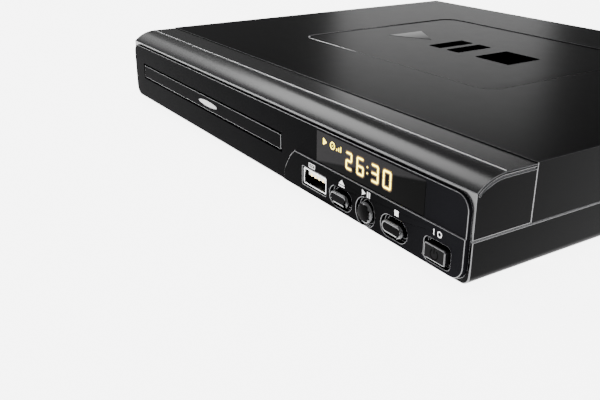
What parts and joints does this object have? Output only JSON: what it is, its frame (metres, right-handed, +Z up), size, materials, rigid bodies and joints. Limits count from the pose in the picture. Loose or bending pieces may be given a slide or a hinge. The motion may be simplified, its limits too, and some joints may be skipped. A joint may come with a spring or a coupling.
{
  "type": "disc player with tray",
  "caption": "Compact low black disc player with a rounded nose, a motorised disc tray, a lit display, front buttons and rear sockets.",
  "frame": {"origin": "centre of the bounding box's underside, on the surface that the feet stand on", "axes": "+X to the right as one faces the front, +Y to the rear, +Z up"},
  "size_m": [0.24, 0.2106, 0.0347],
  "materials": {
    "shell": "satin black moulded plastic",
    "nose": "polished black moulded plastic",
    "panel": "fine-grained dark grey plastic",
    "smoked_window": "smoked, polished",
    "button": "polished black",
    "rubber": "matt",
    "screw": "zinc plated",
    "plated_steel": "plain",
    "circuit_board": "green lacquer",
    "power_board": "bare board",
    "chip": "matt",
    "aluminium": "extruded",
    "capacitor": "shrink sleeve",
    "transformer": "taped coil",
    "display": "dark",
    "white_plastic": "plain",
    "jack_yellow": "plain",
    "jack_white": "plain",
    "jack_red": "plain",
    "frame_plastic": "plain",
    "tray_plastic": "fine grain",
    "brass": "turned",
    "lens": "coated",
    "rear_sheet": "satin black"
  },
  "bodies": {
    "chassis": {"bottom_case": "shell", "top_cover": "shell", "front_bezel": "nose", "front_panel": "panel", "control_panel": "panel", "display_window": "smoked_window", "rear_panel": "rear_sheet", "foot_front_left": "rubber", "foot_front_right": "rubber", "foot_rear_left": "rubber", "foot_rear_right": "rubber", "cover_screws": "screw", "inner_screws": "screw", "main_board": "circuit_board", "main_chip": "chip", "heat_sink": "aluminium", "board_capacitors": "capacitor", "power_board": "power_board", "transformer": "transformer", "front_board": "circuit_board", "display_module": "display", "key_switches": "plated_steel", "power_switch": "plated_steel", "remote_receiver": "display", "usb_shell": "plated_steel", "usb_tongue": "white_plastic", "hdmi_socket": "plated_steel", "video_jack": "jack_yellow", "left_audio_jack": "jack_white", "right_audio_jack": "jack_red", "mains_inlet": "shell", "inlet_pins": "plated_steel", "loader_frame": "frame_plastic", "loading_motor": "plated_steel", "drive_belt": "rubber", "loader_ribbon": "white_plastic", "clamp_bridge": "plated_steel"},
    "open_key": {"open_button": "button", "open_plunger": "white_plastic"},
    "play_key": {"play_button": "button", "play_plunger": "white_plastic"},
    "stop_key": {"stop_button": "button", "stop_plunger": "white_plastic"},
    "power_key": {"power_button": "button"},
    "tray": {"disc_tray": "tray_plastic", "tray_door": "panel"},
    "motor_pulley": {"motor_pulley": "brass"},
    "pulley_gear": {"pulley_gear": "white_plastic"},
    "drive_gear": {"drive_gear": "white_plastic"},
    "cam": {"cam_slider": "white_plastic"},
    "deck": {"traverse_deck": "plated_steel", "spindle_motor": "plated_steel", "guide_rods": "plated_steel", "feed_motor": "plated_steel"},
    "turntable": {"turntable": "shell"},
    "feed_screw": {"feed_screw": "brass"},
    "pickup": {"pickup_sled": "frame_plastic", "pickup_lens": "lens"},
    "clamp": {"clamp_puck": "white_plastic", "clamp_magnet": "plated_steel"}
  },
  "joints": [
    {"name": "tray_slide", "type": "slide", "parent": "chassis", "child": "tray", "axis": [0, -1, 0], "range_m": [0, 0.132]},
    {"name": "drive_gear_spin", "type": "hinge", "parent": "chassis", "child": "drive_gear", "pos_m": [-0.0013, -0.08075, 0.0115], "axis": [0, 0, 1], "range_deg": [-1088, 8]},
    {"name": "pulley_gear_spin", "type": "hinge", "parent": "chassis", "child": "pulley_gear", "pos_m": [-0.0203, -0.08075, 0.0115], "axis": [0, 0, 1], "range_deg": [-8, 1860]},
    {"name": "motor_pulley_spin", "type": "hinge", "parent": "chassis", "child": "motor_pulley", "pos_m": [-0.0553, -0.08075, 0.0132], "axis": [0, 0, 1], "range_deg": [-20, 7260]},
    {"name": "deck_lift", "type": "hinge", "parent": "chassis", "child": "deck", "pos_m": [-0.0413, 0.04725, 0.0142], "axis": [-1, 0, 0], "range_deg": [0, 3.6]},
    {"name": "cam_slide", "type": "slide", "parent": "chassis", "child": "cam", "axis": [1, 0, 0], "range_m": [0, 0.024]},
    {"name": "disc_spin", "type": "hinge", "parent": "deck", "child": "turntable", "pos_m": [-0.0413, -0.03089, 0.01399], "axis": [0, -0.0628, 0.998], "continuous": true},
    {"name": "pickup_slide", "type": "slide", "parent": "deck", "child": "pickup", "axis": [0, 0.998, 0.0628], "range_m": [0, 0.034]},
    {"name": "feed_screw_spin", "type": "hinge", "parent": "deck", "child": "feed_screw", "pos_m": [-0.0103, -0.01546, 0.00765], "axis": [0, 0.998, 0.0628], "range_deg": [-8, 4088]},
    {"name": "clamp_spin", "type": "hinge", "parent": "chassis", "child": "clamp", "pos_m": [-0.0413, -0.03075, 0.0198], "axis": [0, 0, 1], "continuous": true},
    {"name": "open_key_press", "type": "slide", "parent": "chassis", "child": "open_key", "axis": [0, 1, 0], "range_m": [0, 0.0005], "stiffness_N_per_m": 400},
    {"name": "play_key_press", "type": "slide", "parent": "chassis", "child": "play_key", "axis": [0, 1, 0], "range_m": [0, 0.0005], "stiffness_N_per_m": 400},
    {"name": "stop_key_press", "type": "slide", "parent": "chassis", "child": "stop_key", "axis": [0, 1, 0], "range_m": [0, 0.0005], "stiffness_N_per_m": 400},
    {"name": "power_key_press", "type": "slide", "parent": "chassis", "child": "power_key", "axis": [0, 1, 0], "range_m": [0, 0.0018], "stiffness_N_per_m": 300}
  ],
  "couplings": [
    {"joint": "drive_gear_spin", "follows": "tray_slide", "rad_per_m": -142.86},
    {"joint": "pulley_gear_spin", "follows": "tray_slide", "rad_per_m": 244.9},
    {"joint": "motor_pulley_spin", "follows": "tray_slide", "rad_per_m": 957.33},
    {"joint": "cam_slide", "follows": "deck_lift", "m_per_rad": 0.38197},
    {"joint": "feed_screw_spin", "follows": "pickup_slide", "rad_per_m": 2094.4}
  ]
}
